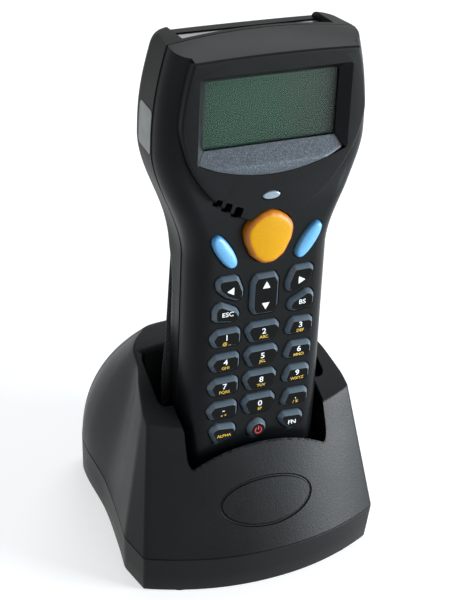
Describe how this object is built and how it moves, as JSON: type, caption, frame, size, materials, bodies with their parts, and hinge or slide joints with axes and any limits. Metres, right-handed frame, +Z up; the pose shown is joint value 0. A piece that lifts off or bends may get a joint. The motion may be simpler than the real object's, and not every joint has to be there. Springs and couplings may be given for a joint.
{
  "type": "portable barcode data terminal",
  "caption": "Handheld barcode data terminal with a flared head, screen, keypad and hand strap, standing in a sloped charging cradle.",
  "frame": {"origin": "on the table under the middle of the cradle's footprint", "axes": "+X to the right seen from the front, +Y to the back, +Z up; the key face looks towards -Y"},
  "size_m": [0.097, 0.0958, 0.1978],
  "materials": {
    "cradle_plastic": "fine moulded grain",
    "tray_plastic": "fine moulded grain",
    "shell_plastic": "fine moulded grain",
    "feet_rubber": "soft matt",
    "screw_steel": "zinc plated",
    "ballast_steel": "raw plate",
    "circuit_board": "solder mask",
    "port_plastic": "moulded",
    "socket_metal": "stamped",
    "contact_gold": "gold flashed",
    "ir_plastic": "dark red see-through",
    "gasket_rubber": "matt",
    "screen_clear": "clear",
    "lcd_green": "reflective cell",
    "lens_trim": "metallic speckle",
    "led_clear": "frosted",
    "scan_clear": "clear",
    "inner_plastic": "moulded",
    "dome_steel": "snap domes",
    "engine_metal": "die cast",
    "battery_wrap": "printed wrap",
    "strap_web": "woven elastic",
    "label_paper": "laminated",
    "key_black": "glossy",
    "key_orange": "glossy",
    "key_blue": "glossy"
  },
  "bodies": {
    "cradle": {"cradle_tray": "tray_plastic", "cradle_housing": "cradle_plastic", "cradle_feet": "feet_rubber", "cradle_screws": "screw_steel", "ballast_plate": "ballast_steel", "cradle_board": "circuit_board", "pin_holder": "port_plastic", "charging_pins": "contact_gold", "cradle_ir_window": "ir_plastic", "dc_jack": "port_plastic", "data_socket": "socket_metal"},
    "terminal": {"front_shell": "shell_plastic", "rear_shell": "shell_plastic", "case_gasket": "gasket_rubber", "case_screws": "screw_steel", "screen_window": "screen_clear", "lcd_module": "lcd_green", "lens_panel": "lens_trim", "led_lens": "led_clear", "buzzer": "inner_plastic", "keypad_mat": "inner_plastic", "key_domes": "dome_steel", "main_board": "circuit_board", "scan_window": "scan_clear", "scan_engine": "engine_metal", "terminal_ir_window": "ir_plastic", "terminal_contacts": "contact_gold", "battery_pack": "battery_wrap", "battery_contacts": "contact_gold", "battery_cover": "shell_plastic", "latch_spring": "screw_steel", "hand_strap": "strap_web", "strap_anchors": "tray_plastic", "side_label": "label_paper"},
    "latch": {"battery_latch": "port_plastic"},
    "scan_key": {"scan_key": "key_orange"},
    "left_side_key": {"left_side_key": "key_blue"},
    "right_side_key": {"right_side_key": "key_blue"},
    "arrow_left_key": {"arrow_left_key": "key_black"},
    "arrow_right_key": {"arrow_right_key": "key_black"},
    "up_down_key": {"up_down_key": "key_black"},
    "escape_key": {"escape_key": "key_black"},
    "backspace_key": {"backspace_key": "key_black"},
    "alpha_key": {"alpha_key": "key_black"},
    "function_key": {"function_key": "key_black"},
    "power_key": {"power_key": "key_black"},
    "key_1": {"key_1": "key_black"},
    "key_2": {"key_2": "key_black"},
    "key_3": {"key_3": "key_black"},
    "key_4": {"key_4": "key_black"},
    "key_5": {"key_5": "key_black"},
    "key_6": {"key_6": "key_black"},
    "key_7": {"key_7": "key_black"},
    "key_8": {"key_8": "key_black"},
    "key_9": {"key_9": "key_black"},
    "key_minus": {"key_minus": "key_black"},
    "key_0": {"key_0": "key_black"},
    "key_point": {"key_point": "key_black"}
  },
  "joints": [
    {"name": "terminal_lift", "type": "slide", "parent": "cradle", "child": "terminal", "axis": [0, 0.0872, 0.9962], "range_m": [0, 0.09]},
    {"name": "scan_key_press", "type": "slide", "parent": "terminal", "child": "scan_key", "axis": [0, 0.9962, -0.0872], "range_m": [0, 0.0008], "stiffness_N_per_m": 1200, "springref_m": -0.0004},
    {"name": "left_side_key_press", "type": "slide", "parent": "terminal", "child": "left_side_key", "axis": [0, 0.9962, -0.0872], "range_m": [0, 0.0008], "stiffness_N_per_m": 1200, "springref_m": -0.0004},
    {"name": "right_side_key_press", "type": "slide", "parent": "terminal", "child": "right_side_key", "axis": [0, 0.9962, -0.0872], "range_m": [0, 0.0008], "stiffness_N_per_m": 1200, "springref_m": -0.0004},
    {"name": "arrow_left_key_press", "type": "slide", "parent": "terminal", "child": "arrow_left_key", "axis": [0, 0.9962, -0.0872], "range_m": [0, 0.0008], "stiffness_N_per_m": 1200, "springref_m": -0.0004},
    {"name": "arrow_right_key_press", "type": "slide", "parent": "terminal", "child": "arrow_right_key", "axis": [0, 0.9962, -0.0872], "range_m": [0, 0.0008], "stiffness_N_per_m": 1200, "springref_m": -0.0004},
    {"name": "up_down_key_press", "type": "slide", "parent": "terminal", "child": "up_down_key", "axis": [0, 0.9962, -0.0872], "range_m": [0, 0.0008], "stiffness_N_per_m": 1200, "springref_m": -0.0004},
    {"name": "escape_key_press", "type": "slide", "parent": "terminal", "child": "escape_key", "axis": [0, 0.9962, -0.0872], "range_m": [0, 0.0008], "stiffness_N_per_m": 1200, "springref_m": -0.0004},
    {"name": "backspace_key_press", "type": "slide", "parent": "terminal", "child": "backspace_key", "axis": [0, 0.9962, -0.0872], "range_m": [0, 0.0008], "stiffness_N_per_m": 1200, "springref_m": -0.0004},
    {"name": "alpha_key_press", "type": "slide", "parent": "terminal", "child": "alpha_key", "axis": [0, 0.9962, -0.0872], "range_m": [0, 0.0008], "stiffness_N_per_m": 1200, "springref_m": -0.0004},
    {"name": "function_key_press", "type": "slide", "parent": "terminal", "child": "function_key", "axis": [0, 0.9962, -0.0872], "range_m": [0, 0.0008], "stiffness_N_per_m": 1200, "springref_m": -0.0004},
    {"name": "power_key_press", "type": "slide", "parent": "terminal", "child": "power_key", "axis": [0, 0.9962, -0.0872], "range_m": [0, 0.0008], "stiffness_N_per_m": 1200, "springref_m": -0.0004},
    {"name": "key_1_press", "type": "slide", "parent": "terminal", "child": "key_1", "axis": [0, 0.9962, -0.0872], "range_m": [0, 0.0008], "stiffness_N_per_m": 1200, "springref_m": -0.0004},
    {"name": "key_2_press", "type": "slide", "parent": "terminal", "child": "key_2", "axis": [0, 0.9962, -0.0872], "range_m": [0, 0.0008], "stiffness_N_per_m": 1200, "springref_m": -0.0004},
    {"name": "key_3_press", "type": "slide", "parent": "terminal", "child": "key_3", "axis": [0, 0.9962, -0.0872], "range_m": [0, 0.0008], "stiffness_N_per_m": 1200, "springref_m": -0.0004},
    {"name": "key_4_press", "type": "slide", "parent": "terminal", "child": "key_4", "axis": [0, 0.9962, -0.0872], "range_m": [0, 0.0008], "stiffness_N_per_m": 1200, "springref_m": -0.0004},
    {"name": "key_5_press", "type": "slide", "parent": "terminal", "child": "key_5", "axis": [0, 0.9962, -0.0872], "range_m": [0, 0.0008], "stiffness_N_per_m": 1200, "springref_m": -0.0004},
    {"name": "key_6_press", "type": "slide", "parent": "terminal", "child": "key_6", "axis": [0, 0.9962, -0.0872], "range_m": [0, 0.0008], "stiffness_N_per_m": 1200, "springref_m": -0.0004},
    {"name": "key_7_press", "type": "slide", "parent": "terminal", "child": "key_7", "axis": [0, 0.9962, -0.0872], "range_m": [0, 0.0008], "stiffness_N_per_m": 1200, "springref_m": -0.0004},
    {"name": "key_8_press", "type": "slide", "parent": "terminal", "child": "key_8", "axis": [0, 0.9962, -0.0872], "range_m": [0, 0.0008], "stiffness_N_per_m": 1200, "springref_m": -0.0004},
    {"name": "key_9_press", "type": "slide", "parent": "terminal", "child": "key_9", "axis": [0, 0.9962, -0.0872], "range_m": [0, 0.0008], "stiffness_N_per_m": 1200, "springref_m": -0.0004},
    {"name": "key_minus_press", "type": "slide", "parent": "terminal", "child": "key_minus", "axis": [0, 0.9962, -0.0872], "range_m": [0, 0.0008], "stiffness_N_per_m": 1200, "springref_m": -0.0004},
    {"name": "key_0_press", "type": "slide", "parent": "terminal", "child": "key_0", "axis": [0, 0.9962, -0.0872], "range_m": [0, 0.0008], "stiffness_N_per_m": 1200, "springref_m": -0.0004},
    {"name": "key_point_press", "type": "slide", "parent": "terminal", "child": "key_point", "axis": [0, 0.9962, -0.0872], "range_m": [0, 0.0008], "stiffness_N_per_m": 1200, "springref_m": -0.0004},
    {"name": "battery_latch_slide", "type": "slide", "parent": "terminal", "child": "latch", "axis": [0, -0.0872, -0.9962], "range_m": [0, 0.0025], "stiffness_N_per_m": 900, "springref_m": -0.0008, "deforming": ["latch_spring"]}
  ]
}
